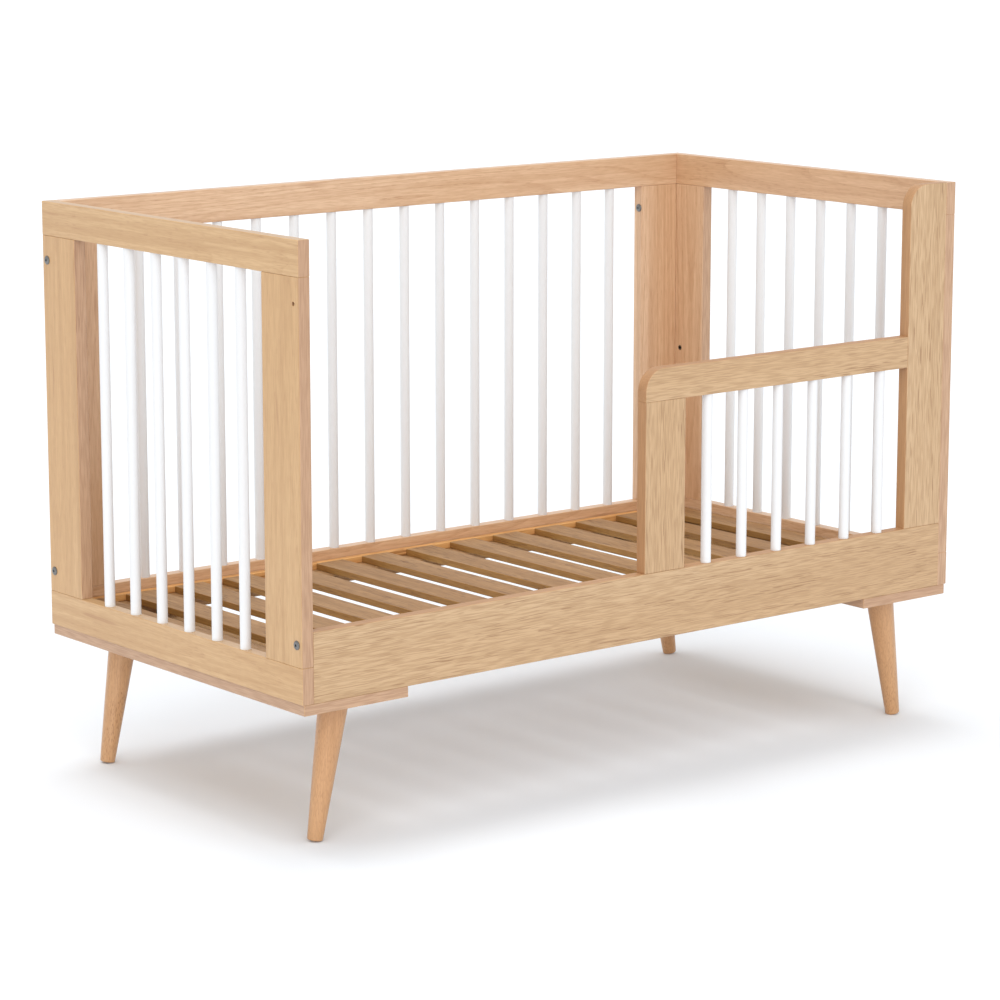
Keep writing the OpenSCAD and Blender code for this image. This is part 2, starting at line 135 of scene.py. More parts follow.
def stands_for(made, node):
    """The piece moves with the node's body and hides the node. Weighted normals keep its broad faces flat
    in the light beside their roundings."""
    flat = made.modifiers.new("flat faces stay flat", "WEIGHTED_NORMAL")
    flat.keep_sharp = True
    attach(made, body_of[node])
    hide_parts(node)
    return made


print("edges stay sharp from", round(math.degrees(SHARP_TURN)), "degrees")

# %% [markdown]
# ## Wood
# All the wood here is one idea with different numbers. Growth rings are the contour lines of a slow
# noise stretched along the grain, which gives long arches and ovals as a sawn board has. Fibres are a
# much finer noise, and pores are the peaks of another. A picture of wood could be wrapped round each
# board, but it would need unwrapping and would repeat. This pattern is solid in space, so it runs round
# every edge and differs from board to board.

# %% Node helpers
def srgb(red, green, blue):
    """A colour as a maker's swatch names it, 0 to 255, turned to linear light."""
    share = np.array([red, green, blue]) / 255
    low, high = share / 12.92, ((share + 0.055) / 1.055) ** 2.4
    return (*np.where(share <= 0.04045, low, high).tolist(), 1.0)


def add(tree, kind, settings=None, **inputs):
    """A node with its settings and inputs. An input is named, or numbered as i0, i1 and so on, and is a
    value or another node's output."""
    made = tree.nodes.new("ShaderNode" + kind)
    for key, value in (settings or {}).items():
        setattr(made, key, value)
    for key, value in inputs.items():
        numbered = key[0] == "i" and key[1:].isdigit()
        socket = made.inputs[int(key[1:]) if numbered else key.replace("_", " ")]
        if isinstance(value, bpy.types.NodeSocket):
            tree.links.new(value, socket)
        else:
            socket.default_value = value
    return made


def blend_colour(tree, share, first, second):
    """Colour that goes from the first to the second as share goes from 0 to 1."""
    mixed = add(tree, "Mix", {"data_type": "RGBA"}, i0=share, i6=first, i7=second)
    return mixed.outputs[2]


print("a mid brown in linear light", [round(value, 3) for value in srgb(150, 110, 70)[:3]])

# %% [markdown]
# A noise becomes grain when its space is squeezed: few waves along the board and many across it. The
# noise reads Object coordinates. Every object here sits at the origin, so they are places in the bed,
# and each board cuts its own part out of one block of wood.

# %% Grain
def between(tree, value, low, high):
    """0 below low, 1 above high, and a smooth rise from one to the other."""
    made = add(tree, "MapRange", {"interpolation_type": "SMOOTHSTEP"},
               Value=value, From_Min=low, From_Max=high)
    return made.outputs[0]


def calc(tree, operation, first, second=0.0):
    """One sum of two values, such as ADD or MULTIPLY."""
    return add(tree, "Math", {"operation": operation}, i0=first, i1=second).outputs[0]


def grain_noise(tree, along, lengthwise, across, detail=2.0, shift=0.0):
    """Noise in waves per metre: few with the grain, which runs along that axis, and many across it."""
    scale = [lengthwise if axis == along else across for axis in "XYZ"]
    place = add(tree, "Mapping", Vector=add(tree, "TexCoord").outputs["Object"],
                Scale=scale, Location=(shift, shift * 1.7, shift * 2.3))
    noise = add(tree, "TexNoise", Vector=place.outputs[0], Scale=1.0, Detail=detail, Roughness=0.55)
    return noise.outputs[0]


def fresh_material(name):
    """An empty material, its node tree and its surface shader."""
    made = bpy.data.materials.new(name)
    made.use_nodes = True
    return made, made.node_tree, made.node_tree.nodes["Principled BSDF"]


print("materials so far", len(bpy.data.materials))

# %% [markdown]
# Each species is a row of numbers: colours, how many rings and how deep, how strong the streaks, fibres
# and marks, and the depth and size of the pores, in waves per metre. Beech is calm, with fine straight
# streaks. Oak has open pores, short dark dashes that can be felt. Some boards have narrow faces of a
# plainer, darker tone, as an edge band gives, so those are species of their own. The slats' narrow faces
# are darker and more golden, partly as raw edges are and partly as painted shade. The beech of the back
# and the right end, seen from inside the bed, is painted paler and lighter to make up for the shade there.

# %% Wood species
SPECIES = {
    "beech": dict(
        light=(207, 169, 121), dark=(180, 137, 88), warm=(201, 159, 108), pore_ink=(166, 117, 72),
        rings=24, ring=0.22, streak=0.55, fibre=0.36, pore=0.20, mark=0.55, width=620, length=55,
        rough=0.36, relief=0.05, coat=0.35),
    # Painted light: a paler, lighter beech for the boards seen from inside the bed, to make up for the
    # shade there.
    "rose_beech": dict(
        light=(225, 190, 155), dark=(192, 147, 108), warm=(218, 178, 139), pore_ink=(168, 118, 80),
        rings=30, ring=0.42, streak=0.45, fibre=0.36, pore=0.20, mark=0.55, width=620, length=55,
        rough=0.36, relief=0.05, coat=0.35),
    "oak": dict(
        light=(203, 170, 131), dark=(174, 138, 98), warm=(198, 162, 121), pore_ink=(152, 114, 76),
        rings=14, ring=0.12, streak=0.30, fibre=0.60, pore=0.50, mark=0.0, width=560, length=24,
        rough=0.42, relief=0.12, coat=0.20),
    "leg_beech": dict(
        light=(204, 158, 113), dark=(176, 130, 87), warm=(196, 147, 102), pore_ink=(158, 111, 70),
        rings=8, ring=0.15, streak=0.30, fibre=0.35, pore=0.45, mark=0.0, width=800, length=130,
        rough=0.36, relief=0.06, coat=0.25),
    "edge_beech": dict(
        light=(197, 160, 128), dark=(168, 129, 98), warm=(190, 151, 119), pore_ink=(154, 112, 82),
        rings=3, ring=0.0, streak=0.20, fibre=0.60, pore=0.30, mark=0.0, width=480, length=25,
        rough=0.40, relief=0.05, coat=0.20),
    "edge_oak": dict(
        light=(188, 143, 100), dark=(160, 116, 76), warm=(181, 135, 93), pore_ink=(138, 96, 60),
        rings=3, ring=0.0, streak=0.30, fibre=0.35, pore=0.15, mark=0.0, width=480, length=25,
        rough=0.44, relief=0.05, coat=0.0),
    "slat_beech": dict(
        light=(178, 138, 94), dark=(142, 103, 61), warm=(166, 125, 80), pore_ink=(112, 77, 42),
        rings=12, ring=0.30, streak=0.50, fibre=0.45, pore=0.45, mark=0.35, width=420, length=45,
        rough=0.60, relief=0.08, coat=0.0),
    # Painted shade: the slats' narrow faces are darker than their tops, partly as raw edges are browner and
    # partly as shade between the slats.
    "slat_edge": dict(
        light=(172, 127, 66), dark=(134, 92, 42), warm=(158, 114, 56), pore_ink=(106, 68, 32),
        rings=8, ring=0.30, streak=0.35, fibre=0.40, pore=0.30, mark=0.35, width=420, length=45,
        rough=0.65, relief=0.08, coat=0.0),
    "strip_pine": dict(
        light=(230, 180, 116), dark=(190, 130, 70), warm=(220, 161, 94), pore_ink=(134, 80, 36),
        rings=22, ring=0.55, streak=0.50, fibre=0.30, pore=0.30, mark=0.85, width=200, length=30,
        rough=0.60, relief=0.05, coat=0.0),
}

print("species", ", ".join(SPECIES))

# %% [markdown]
# The parts of the figure are laid over each other from broad to fine: tone, streaks, late wood of the
# rings, fibres, marks and pores. Each fades in over a short span of its noise, so no line has a hard
# edge. The fibres also vary the gloss, and fibres and pores press into the surface a little. A satin
# coat lies over the panels' wood, and the base's wood is bare.

# %% Numbers of the figure
# Waves per metre with and across the grain, detail, and a shift that keeps the patterns apart.
WAVES = {
    "tone": (0.6, 6.0, 1.0, 0.0),
    "arch": (0.4, 6.5, 1.0, 3.1),
    "streak": (1.1, 75.0, 3.0, 7.9),
    "fibre": (24.0, 500.0, 1.0, 5.7),
    "mark": (6.0, 85.0, 1.0, 12.4),
}
PORE_DETAIL, PORE_SHIFT = 0.0, 9.2
# Where each part starts to show and where it is full, as values of its noise.
FADE = {
    "tone": (0.35, 0.7),
    "late": (0.62, 1.0),
    "streak": (0.38, 0.68),
    "fibre": (0.38, 0.62),
    "mark": (0.66, 0.78),
    "pore": (0.58, 0.68),
}
PORES_IN_EARLY_WOOD = 0.7
GLOSS_RANGE = 0.12
COAT_ROUGHNESS = 0.22
FIBRE_HEIGHT = 0.4
WOOD_RELIEF = 0.0006
print("noises", ", ".join(WAVES), "fades", ", ".join(FADE))

# %% [markdown]
# One function lays these parts over each other for any species. It keeps what it has made, so all boards
# of one species with the same direction of grain share one material.

# %% The wood material
def wood(species, along):
    """The material of one species with its grain along an axis, made once and shared."""
    name = f"{species}_{along.lower()}"
    if name in bpy.data.materials:
        return bpy.data.materials[name]
    kind = SPECIES[species]
    made, tree, shader = fresh_material(name)
    tone, arch, streak, fibre, mark = (grain_noise(tree, along, *waves) for waves in WAVES.values())
    dash = grain_noise(tree, along, kind["length"], kind["width"], PORE_DETAIL, PORE_SHIFT)
    ring = calc(tree, "FRACT", calc(tree, "MULTIPLY", arch, float(kind["rings"])))
    late = between(tree, ring, *FADE["late"])
    pore = calc(tree, "MULTIPLY", between(tree, dash, *FADE["pore"]),
                calc(tree, "ADD", late, PORES_IN_EARLY_WOOD))
    light, dark, warm, ink = (srgb(*kind[key]) for key in ("light", "dark", "warm", "pore_ink"))
    colour = blend_colour(tree, between(tree, tone, *FADE["tone"]), light, warm)
    layers = (("streak", between(tree, streak, *FADE["streak"]), dark), ("ring", late, dark),
              ("fibre", between(tree, fibre, *FADE["fibre"]), dark),
              ("mark", between(tree, mark, *FADE["mark"]), ink), ("pore", pore, ink))
    for depth, share, tint in layers:
        colour = blend_colour(tree, calc(tree, "MULTIPLY", share, kind[depth]), colour, tint)
    tree.links.new(colour, shader.inputs["Base Color"])
    gloss = calc(tree, "MULTIPLY_ADD", fibre, GLOSS_RANGE)
    gloss.node.inputs[2].default_value = kind["rough"] - GLOSS_RANGE / 2
    tree.links.new(gloss, shader.inputs["Roughness"])
    shader.inputs["Coat Weight"].default_value = kind["coat"]
    shader.inputs["Coat Roughness"].default_value = COAT_ROUGHNESS
    height = calc(tree, "SUBTRACT", calc(tree, "MULTIPLY", fibre, FIBRE_HEIGHT), pore)
    bump = add(tree, "Bump", Height=height, Strength=kind["relief"], Distance=WOOD_RELIEF)
    tree.links.new(bump.outputs[0], shader.inputs["Normal"])
    return made


print("the coat's roughness is", COAT_ROUGHNESS)

# %% [markdown]
# A second material on the narrow faces could be a thin piece of its own. Giving it to the faces that
# point that way is enough, because a band is flush with the board.

# %% Bands on narrow faces
FACING = 0.75
TURNED_AWAY = 0.6


def band(made, axis, material, facing=True):
    """The material covers each face whose normal points along that axis, or else each one whose normal
    is turned away from it. The measure is the size of the unit normal's part along the axis."""
    faces = made.data.polygons
    normal = np.empty(len(faces) * 3)
    faces.foreach_get("normal", normal)
    chosen = np.empty(len(faces), np.int32)
    faces.foreach_get("material_index", chosen)
    made.data.materials.append(material)
    along_axis = np.abs(normal.reshape(-1, 3)[:, axis])
    chosen[along_axis > FACING if facing else along_axis < TURNED_AWAY] = len(made.data.materials) - 1
    faces.foreach_set("material_index", chosen)
    return made


print("a face belongs to a band within", round(math.degrees(math.acos(FACING))), "degrees of its axis")

# %% [markdown]
# ## Lacquer and zinc
# The spindles are white and smooth, so they are made as sprayed lacquer: a soft gloss with a faint
# ripple. The hardware is made as zinc-plated steel, a grey metal whose tone and gloss change over a few
# millimetres. A flat colour would look like plastic for both.

# %% Lacquer and zinc
def white_lacquer():
    """White between two near tones, with a faint ripple."""
    made, tree, shader = fresh_material("white_lacquer")
    ripple = grain_noise(tree, "Z", 30.0, 90.0, 2.0)
    cloud = grain_noise(tree, "Z", 2.0, 12.0, 1.0, 4.0)
    colour = blend_colour(tree, cloud, srgb(231, 231, 231), srgb(224, 224, 225))
    tree.links.new(colour, shader.inputs["Base Color"])
    shader.inputs["Roughness"].default_value = 0.32
    bump = add(tree, "Bump", Height=ripple, Strength=0.05, Distance=0.0004)
    tree.links.new(bump.outputs[0], shader.inputs["Normal"])
    return made


def zinc_steel():
    """Metal between two greys, with fine lines in its gloss."""
    made, tree, shader = fresh_material("zinc_steel")
    cloud = grain_noise(tree, "X", 260.0, 260.0, 2.0)
    lines = grain_noise(tree, "X", 400.0, 2400.0, 2.0)
    colour = blend_colour(tree, cloud, srgb(150, 149, 147), srgb(104, 103, 102))
    tree.links.new(colour, shader.inputs["Base Color"])
    tree.links.new(between(tree, lines, -0.9, 2.6), shader.inputs["Roughness"])
    shader.inputs["Metallic"].default_value = 1.0
    bump = add(tree, "Bump", Height=lines, Strength=0.08, Distance=0.0001)
    tree.links.new(bump.outputs[0], shader.inputs["Normal"])
    return made


LACQUER = white_lacquer()
ZINC = zinc_steel()
print("finishes", LACQUER.name, ZINC.name)

# %% [markdown]
# ## Boards
# A real board leaves the planer with sharp edges that are then eased so that nobody is cut. A box with
# a Bevel modifier would do, but here a rounded rectangle is carried along the board, so that the radius
# of the long edges and of the ends can differ. Near each end the section shrinks along a quarter
# circle, which leaves a hairline groove where two boards meet.

# %% Boards
LONG_EDGE = 0.0015
END_EDGE = 0.0010
CORNER_STEPS = 4
END_STEPS = 3


def rounded_section(width, height, radius, inset):
    """Rounded rectangle moved inwards by inset: the corners' centres stay, and the corners' radius
    becomes radius - inset."""
    turn = np.linspace(0, np.pi / 2, CORNER_STEPS + 1)
    angle = (turn + np.arange(4)[:, None] * np.pi / 2).ravel()
    side = np.repeat([[1, 1], [-1, 1], [-1, -1], [1, -1]], CORNER_STEPS + 1, 0)
    centre = side * (np.array([width, height]) / 2 - radius)
    return centre + (radius - inset) * np.stack([np.cos(angle), np.sin(angle)], -1)


def board(low, high, along):
    """Solid of a board between two corners: at each station, the section moved inwards by
    END_EDGE * (1 - sin a), at a distance END_EDGE * (1 - cos a) from the board's end, as a goes from 0
    to 90 degrees."""
    low, high = np.array(low), np.array(high)
    path = "XYZ".index(along)
    first, second = [axis for axis in range(3) if axis != path]
    size, middle = high - low, (low + high) / 2
    turn = np.linspace(0, np.pi / 2, END_STEPS + 1)
    inset = END_EDGE * (1 - np.sin(turn))
    near = low[path] + END_EDGE * (1 - np.cos(turn))
    station = np.r_[near, (low[path] + high[path] - near)[::-1]]
    insets = np.r_[inset, inset[::-1]]
    sections = np.stack([rounded_section(size[first], size[second], LONG_EDGE, value)
                         for value in insets])
    grid = np.empty(sections.shape[:2] + (3,))
    grid[..., path] = station[:, None]
    grid[..., first] = sections[..., 0] + middle[first]
    grid[..., second] = sections[..., 1] + middle[second]
    return solid(grid)


print("edges eased by", LONG_EDGE, "and ends by", END_EDGE)

# %% [markdown]
# A board is bored wherever something goes into it: spindles, dowels, bolts, nuts and screws. Dark discs
# on the surface could stand for the holes in sight, but they would have no depth. So a drill is a round
# bar, and a Boolean modifier takes it out of the board. Bolt holes and nut holes cross each other, so
# the modifier is told that the drills overlap. The cut mesh is kept.

# %% Drill holes
DRILL_SIDES = 40


def round_bar(start, end, radius):
    """Solid cylinder: a circle square to the line from start to end, carried along it."""
    start, end = np.array(start, float), np.array(end, float)
    line = (end - start) / np.linalg.norm(end - start)
    side = np.cross(line, [0, 1, 0] if abs(line[1]) < 0.9 else [1, 0, 0])
    side = side / np.linalg.norm(side)
    other = np.cross(line, side)
    angle = np.linspace(0, 2 * np.pi, DRILL_SIDES, endpoint=False)[:, None]
    ring = radius * (np.cos(angle) * side + np.sin(angle) * other)
    return solid(np.stack([start + ring, end + ring]))


def drill(made, holes):
    """Cuts cylinders, each (start, end, radius), from a piece, and keeps the cut mesh."""
    if not holes:
        return made
    bits = piece("drill_bits", [round_bar(*hole) for hole in holes], made.data.materials[0])
    cut = made.modifiers.new("holes", "BOOLEAN")
    cut.operation = "DIFFERENCE"
    cut.solver = "EXACT"
    cut.use_self = True
    cut.object = bits
    graph = bpy.context.evaluated_depsgraph_get()
    mesh = bpy.data.meshes.new_from_object(made.evaluated_get(graph))
    made.modifiers.clear()
    made.data = mesh
    mesh.name = made.name
    mesh.set_sharp_from_angle(angle=SHARP_TURN)
    bpy.data.objects.remove(bits)
    return made


print("drills have", DRILL_SIDES, "sides")

# %% [markdown]
# ## Where the borings are
# The boards' own boxes give the seams and faces that the borings are measured from. A list of holes for
# each board would repeat every hole that crosses two boards. So one list holds all the borings of the
# bed, and each board later takes those that cross it. The base can be bolted at three heights. Bolt
# holes have half a millimetre of play all round, and the other borings 0.05 mm.

# %% Faces and seams
bolt_mount = next(mount for mount in record["mounts"] if mount["name"] == "front_panel_bolt_hole")
INNER_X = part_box("front_board")[1].x
INNER_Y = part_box("back_top_rail")[0].y
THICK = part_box("back_top_rail")[1].y - INNER_Y
OUTER_X, OUTER_Y = INNER_X + THICK, INNER_Y + THICK
MIDDLE_X, MIDDLE_Y = INNER_X + THICK / 2, INNER_Y + THICK / 2
LOW_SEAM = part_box("left_end_bottom_rail")[1].z
TOP_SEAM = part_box("left_end_top_rail")[0].z
FRONT_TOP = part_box("front_board")[1].z
GUARD_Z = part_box("guard_rail")[0].z
GUARD_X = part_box("guard_free_post")[0].x
POST_EDGE_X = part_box("guard_tall_post")[0].x
PLATE_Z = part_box("left_leg_plate")[0].z
SLAT_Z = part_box("slat_1")[0].z
SLATS = [f"slat_{number}" for number in range(1, 15)]
SIDES = (-1, 1)
FIT = 0.00005
PAST = 0.001
print("inner faces at", round(INNER_X, 4), round(INNER_Y, 4))
print("seams at", round(LOW_SEAM, 4), round(TOP_SEAM, 4))

# %% [markdown]
# Spindles go into sockets in the rails, and dowels hold each rail to its posts. Both are upright, apart
# from the two dowels between the guard rail and the tall post. Screws come up through the leg plates,
# their heads in a wider bore, and others fix each slat to the two bearers.

# %% Sizes and shapes of these borings
SPINDLE_ROWS = {"left_end_spindles": (6, 1), "right_end_spindles": (6, 1),
                "back_spindles": (14, 0), "guard_spindles": (6, 0)}
END_DOWELS, SIDE_DOWELS, GUARD_DOWELS = (0.030, 0.070), (0.022, 0.068), (0.016, 0.040)
DOWEL_HALF = 0.0155
DOWEL_R, SCREW_R, SCREW_HEAD_R, SLAT_SCREW_R = (value + FIT for value in (0.004, 0.002, 0.004, 0.00175))
PLATE_SCREW_Y = (-0.2, 0, 0.2)
PLATE_SCREW_FROM_END = 0.180
SCREW_REACH, SCREW_HEAD_DEPTH = 0.0385, 0.004
SLAT_SCREW_INSET, SLAT_SCREW_DEPTH = 0.020, 0.008


def spindle_places(node):
    """Radius, length and evenly spaced feet of the spindles in their node's box."""
    count, axis = SPINDLE_ROWS[node]
    low, high = (np.array(corner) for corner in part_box(node))
    radius = (high - low)[1 - axis] / 2
    feet = np.tile((low + high) / 2, (count, 1))
    feet[:, axis] = np.linspace(low[axis] + radius, high[axis] - radius, count)
    feet[:, 2] = low[2]
    return radius, high[2] - low[2], feet


def upright(x, y, low, high, radius):
    """An upright boring between two heights."""
    return (x, y, low), (x, y, high), radius


def dowel(x, y, z):
    """An upright dowel hole with its middle in the seam at that height."""
    return upright(x, y, z - DOWEL_HALF, z + DOWEL_HALF, DOWEL_R)


def level_x(side, first, last, y, z, radius):
    """A level boring along X, between two distances from the middle, on one side of the bed."""
    return (side * first, y, z), (side * last, y, z), radius


print("rows of spindles", len(SPINDLE_ROWS), "dowel hole radius", DOWEL_R)

# %% [markdown]
# Left and right, and front and back, mirror each other, so most borings are written once and repeated
# for both signs. The guard has its own, because it stands at the front right only.

# %% The borings for spindles, dowels and screws
borings = []
for node in SPINDLE_ROWS:
    radius, length, feet = spindle_places(node)
    borings += [upright(x, y, z, z + length, radius + FIT) for x, y, z in feet.tolist()]
for seam in (LOW_SEAM, TOP_SEAM):
    borings += [dowel(side * MIDDLE_X, face * (OUTER_Y - inset), seam)
                for side in SIDES for face in SIDES for inset in END_DOWELS]
    borings += [dowel(side * (INNER_X - inset), MIDDLE_Y, seam) for side in SIDES for inset in SIDE_DOWELS]
for inset in SIDE_DOWELS:
    borings += [dowel(GUARD_X + inset, -MIDDLE_Y, seam) for seam in (FRONT_TOP, GUARD_Z)]
    borings.append(dowel(INNER_X - inset, -MIDDLE_Y, FRONT_TOP))
borings += [level_x(1, POST_EDGE_X - DOWEL_HALF, POST_EDGE_X + DOWEL_HALF, -MIDDLE_Y, GUARD_Z + rise,
                    DOWEL_R) for rise in GUARD_DOWELS]
screws = [(side * MIDDLE_X, y) for side in SIDES for y in PLATE_SCREW_Y]
screws += [(side * (OUTER_X - PLATE_SCREW_FROM_END), face * MIDDLE_Y) for side in SIDES for face in SIDES]
borings += [upright(x, y, PLATE_Z - PAST, PLATE_Z + SCREW_REACH, SCREW_R) for x, y in screws]
borings += [upright(x, y, PLATE_Z - PAST, PLATE_Z + SCREW_HEAD_DEPTH, SCREW_HEAD_R) for x, y in screws]
for node in SLATS:
    low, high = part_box(node)
    x, y = (low.x + high.x) / 2, high.y - SLAT_SCREW_INSET
    borings += [upright(x, face * y, SLAT_Z - PAST, SLAT_Z + SLAT_SCREW_DEPTH, SLAT_SCREW_R)
                for face in SIDES]
print("borings for spindles, dowels and screws", len(borings))

# %% [markdown]
# The connector bolts cross each corner a little in from the face. Most of them pull on a barrel nut,
# which sits across the bolt in a seat bored from the inner face. The upper back bolts pull on a sleeve
# nut that comes from the other side of the post.

# %% Bolts, nuts and inserts
BOLT_Y = abs(bolt_mount["pos_m"][1])
BOLT_HIGH = bolt_mount["pos_m"][2]
BOLT_LOW = BOLT_HIGH - 0.540
BOLT_HOLE = bolt_mount["dims"]["r_mm"] / 1000
BOLT_REACH = INNER_X - 0.052
BARREL_X = INNER_X - 0.040
NUT_R, SLEEVE_R = 0.005, 0.0045
BARREL_DEPTH, INSERT_DEPTH, SLEEVE_DEPTH = 0.0142, 0.0145, 0.0355
SUPPORT_Y = INNER_Y - 0.014
SUPPORT_LEVELS = (0.262, 0.433, 0.604)

for side in SIDES:
    for face in SIDES:
        borings.append(level_x(side, OUTER_X + PAST, BOLT_REACH, face * BOLT_Y, BOLT_LOW, BOLT_HOLE))
        borings += [level_x(side, INNER_X - PAST, INNER_X + INSERT_DEPTH, face * SUPPORT_Y, z, NUT_R + FIT)
                    for z in SUPPORT_LEVELS]
    borings.append(level_x(side, OUTER_X + PAST, BOLT_REACH, -BOLT_Y, BOLT_HIGH, BOLT_HOLE))
    borings.append(level_x(side, OUTER_X + PAST, POST_EDGE_X - PAST, BOLT_Y, BOLT_HIGH, BOLT_HOLE))
    borings.append(level_x(side, POST_EDGE_X - PAST, POST_EDGE_X + SLEEVE_DEPTH, BOLT_Y, BOLT_HIGH,
                           SLEEVE_R + FIT))
nuts = [(side * BARREL_X, face, BOLT_LOW) for side in SIDES for face in SIDES] + [(BARREL_X, -1, BOLT_HIGH)]
borings += [((x, face * (INNER_Y - PAST), z), (x, face * (INNER_Y + BARREL_DEPTH), z), NUT_R + FIT)
            for x, face, z in nuts]
print("borings", len(borings), "low bolts at", round(BOLT_LOW, 4), "high bolts at", round(BOLT_HIGH, 4))

# %% [markdown]
# The legs lean, so their fixings do too: a hanger bolt runs up each leg's axis into a threaded insert in
# the plate. Each leg's axis starts in the middle of its foot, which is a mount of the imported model.

# %% Leg axes
LEG_TILT = math.radians(10)
LEG_TOP, LEG_FOOT, FOOT_EDGE = 0.025, 0.013, 0.003
HANGER_R, HANGER_DEPTH, HANGER_PAST = 0.004, 0.046, 0.030
LEG_INSERT_R, LEG_INSERT_REACH = 0.006, 0.027
FOOT_LIFT = (LEG_FOOT - FOOT_EDGE) * math.sin(LEG_TILT) + FOOT_EDGE * (1 - math.cos(LEG_TILT))
LEG_LENGTH = (PLATE_Z - FOOT_LIFT) / math.cos(LEG_TILT)
LEGS = {}
for name in ("front_left", "front_right", "back_left", "back_right"):
    foot = next(mount["pos_m"] for mount in record["mounts"] if mount["name"] == "foot_" + name)
    lean = -math.sin(LEG_TILT) * (-1 if "left" in name else 1)
    LEGS[name + "_leg"] = (np.array(foot), np.array([lean, 0, math.cos(LEG_TILT)]))


def along_leg(node, first, last, radius):
    """A bar on the leg's axis, between two distances from its foot."""
    foot, direction = LEGS[node]
    return foot + first * direction, foot + last * direction, radius


print("leg length", round(LEG_LENGTH, 4))

# %% [markdown]
# A boring belongs to a board when its own box overlaps the board's box. The box of a boring is as wide
# as its radius square to its axis, and ends where the boring ends.

# %% Choose the borings of a piece
LEAST_OVERLAP = 0.0005
SAME_PLACE = 0.0001


def holes_in(node):
    """The borings whose boxes overlap the node's box by more than LEAST_OVERLAP along every axis. A leg
    has only its bolt hole, and a leg plate has two insert holes more."""
    if node in LEGS:
        return [along_leg(node, LEG_LENGTH - HANGER_DEPTH, LEG_LENGTH + HANGER_PAST, HANGER_R + FIT)]
    low, high = (np.array(corner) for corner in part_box(node))
    chosen = []
    for start, end, radius in borings:
        ends = np.array([start, end])
        reach = radius * (np.ptp(ends, axis=0) < SAME_PLACE)
        overlap = np.minimum(high, ends.max(0) + reach) - np.maximum(low, ends.min(0) - reach)
        if overlap.min() > LEAST_OVERLAP:
            chosen.append((start, end, radius))
    if "leg_plate" in node:
        chosen += [along_leg(leg, LEG_LENGTH - LEG_INSERT_REACH, LEG_LENGTH + LEG_INSERT_REACH,
                             LEG_INSERT_R + FIT)
                   for leg in LEGS if leg.split("_")[1] == node.split("_")[0]]
    return chosen


print("borings in the front board", len(holes_in("front_board")))

# %% [markdown]
# ## End panels, back panel and leg plates
# Each panel has posts between a top and a bottom rail, with the grain along each board. One sheet with a
# window cut in it would be quicker, but its grain would run one way and no joint would show. The front
# board and the guard are oak, and the rest is beech.

# %% Panel boards
# The back and the right end, whose faces are seen from inside the bed, take the beech painted lighter to
# make up for the shade there.
PANEL_BOARDS = {
    "back_top_rail": ("rose_beech", "X"), "back_bottom_rail": ("rose_beech", "X"),
    "back_left_post": ("rose_beech", "Z"), "back_right_post": ("rose_beech", "Z"),
    "front_board": ("oak", "X"), "guard_free_post": ("oak", "Z"),
    "left_leg_plate": ("beech", "Y"), "right_leg_plate": ("beech", "Y"),
}
for name, species in (("left", "beech"), ("right", "rose_beech")):
    PANEL_BOARDS[f"{name}_end_top_rail"] = (species, "Y")
    PANEL_BOARDS[f"{name}_end_bottom_rail"] = (species, "Y")
    PANEL_BOARDS[f"{name}_end_front_post"] = (species, "Z")
    PANEL_BOARDS[f"{name}_end_back_post"] = (species, "Z")


def cover_edges(made, node, species, along):
    """Oak boards have one band all round. The end panels and leg plates have theirs on narrow faces."""
    if species == "oak":
        band(made, 1, wood("edge_oak", along), facing=False)
    if "plate" in node:
        band(made, 0, wood("edge_beech", "Y"))
        band(made, 1, wood("edge_beech", "X"))
    if "_end_" in node:
        band(made, 1, wood("edge_beech", "Z"))
    return made


def panel_board(node):
    """One board in its node's box, with its holes drilled and its edges banded."""
    species, along = PANEL_BOARDS[node]
    low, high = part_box(node)
    made = piece("visible_" + node, [board(low, high, along)], wood(species, along))
    drill(made, holes_in(node))
    return stands_for(cover_edges(made, node, species, along), node)


boards = [panel_board(node) for node in PANEL_BOARDS]
print("panel boards", len(boards))

# %% [markdown]
# ## Guard boards with a round corner
# The guard rail and the tall post each have one large round corner. Rounding that corner on a finished
# board would leave its edge sharp. So the outline is carried through the thickness, and moved inwards
# near both faces, which eases every edge by the same amount.

# %% Guard rail and tall post
GUARD_CORNER = 0.040
GUARD_EDGE = 0.0012
GUARD_STEPS = 16


def corner_outline(low, high, corner, inset):
    """Rectangle with its upper left corner a quarter circle, moved inwards by inset."""
    turn = np.linspace(np.pi / 2, np.pi, GUARD_STEPS + 1)
    left, right, bottom, top = low[0] + inset, high[0] - inset, low[2] + inset, high[2] - inset
    x = np.r_[left, right, right, low[0] + corner + (corner - inset) * np.cos(turn)]
    z = np.r_[bottom, bottom, top, high[2] - corner + (corner - inset) * np.sin(turn)]
    return x, z


def corner_board(node):
    """The outline at each level through the thickness, moved inwards by GUARD_EDGE * (1 - sin a) at a
    distance GUARD_EDGE * (1 - cos a) from a face."""
    low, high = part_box(node)
    turn = np.linspace(0, np.pi / 2, 5)
    inset = np.r_[GUARD_EDGE * (1 - np.sin(turn)), (GUARD_EDGE * (1 - np.sin(turn)))[::-1]]
    near = low[1] + GUARD_EDGE * (1 - np.cos(turn))
    level = np.r_[near, (low[1] + high[1] - near)[::-1]]
    outlines = [corner_outline(low, high, GUARD_CORNER, value) for value in inset]
    rings = [np.stack([x, np.full_like(x, y), z], -1) for (x, z), y in zip(outlines, level)]
    return solid(np.stack(rings))


GUARD_BOARDS = {"guard_rail": "X", "guard_tall_post": "Z"}
for node, along in GUARD_BOARDS.items():
    made = piece("visible_" + node, [corner_board(node)], wood("oak", along))
    drill(made, holes_in(node))
    stands_for(cover_edges(made, node, "oak", along), node)
print("guard boards", len(GUARD_BOARDS))

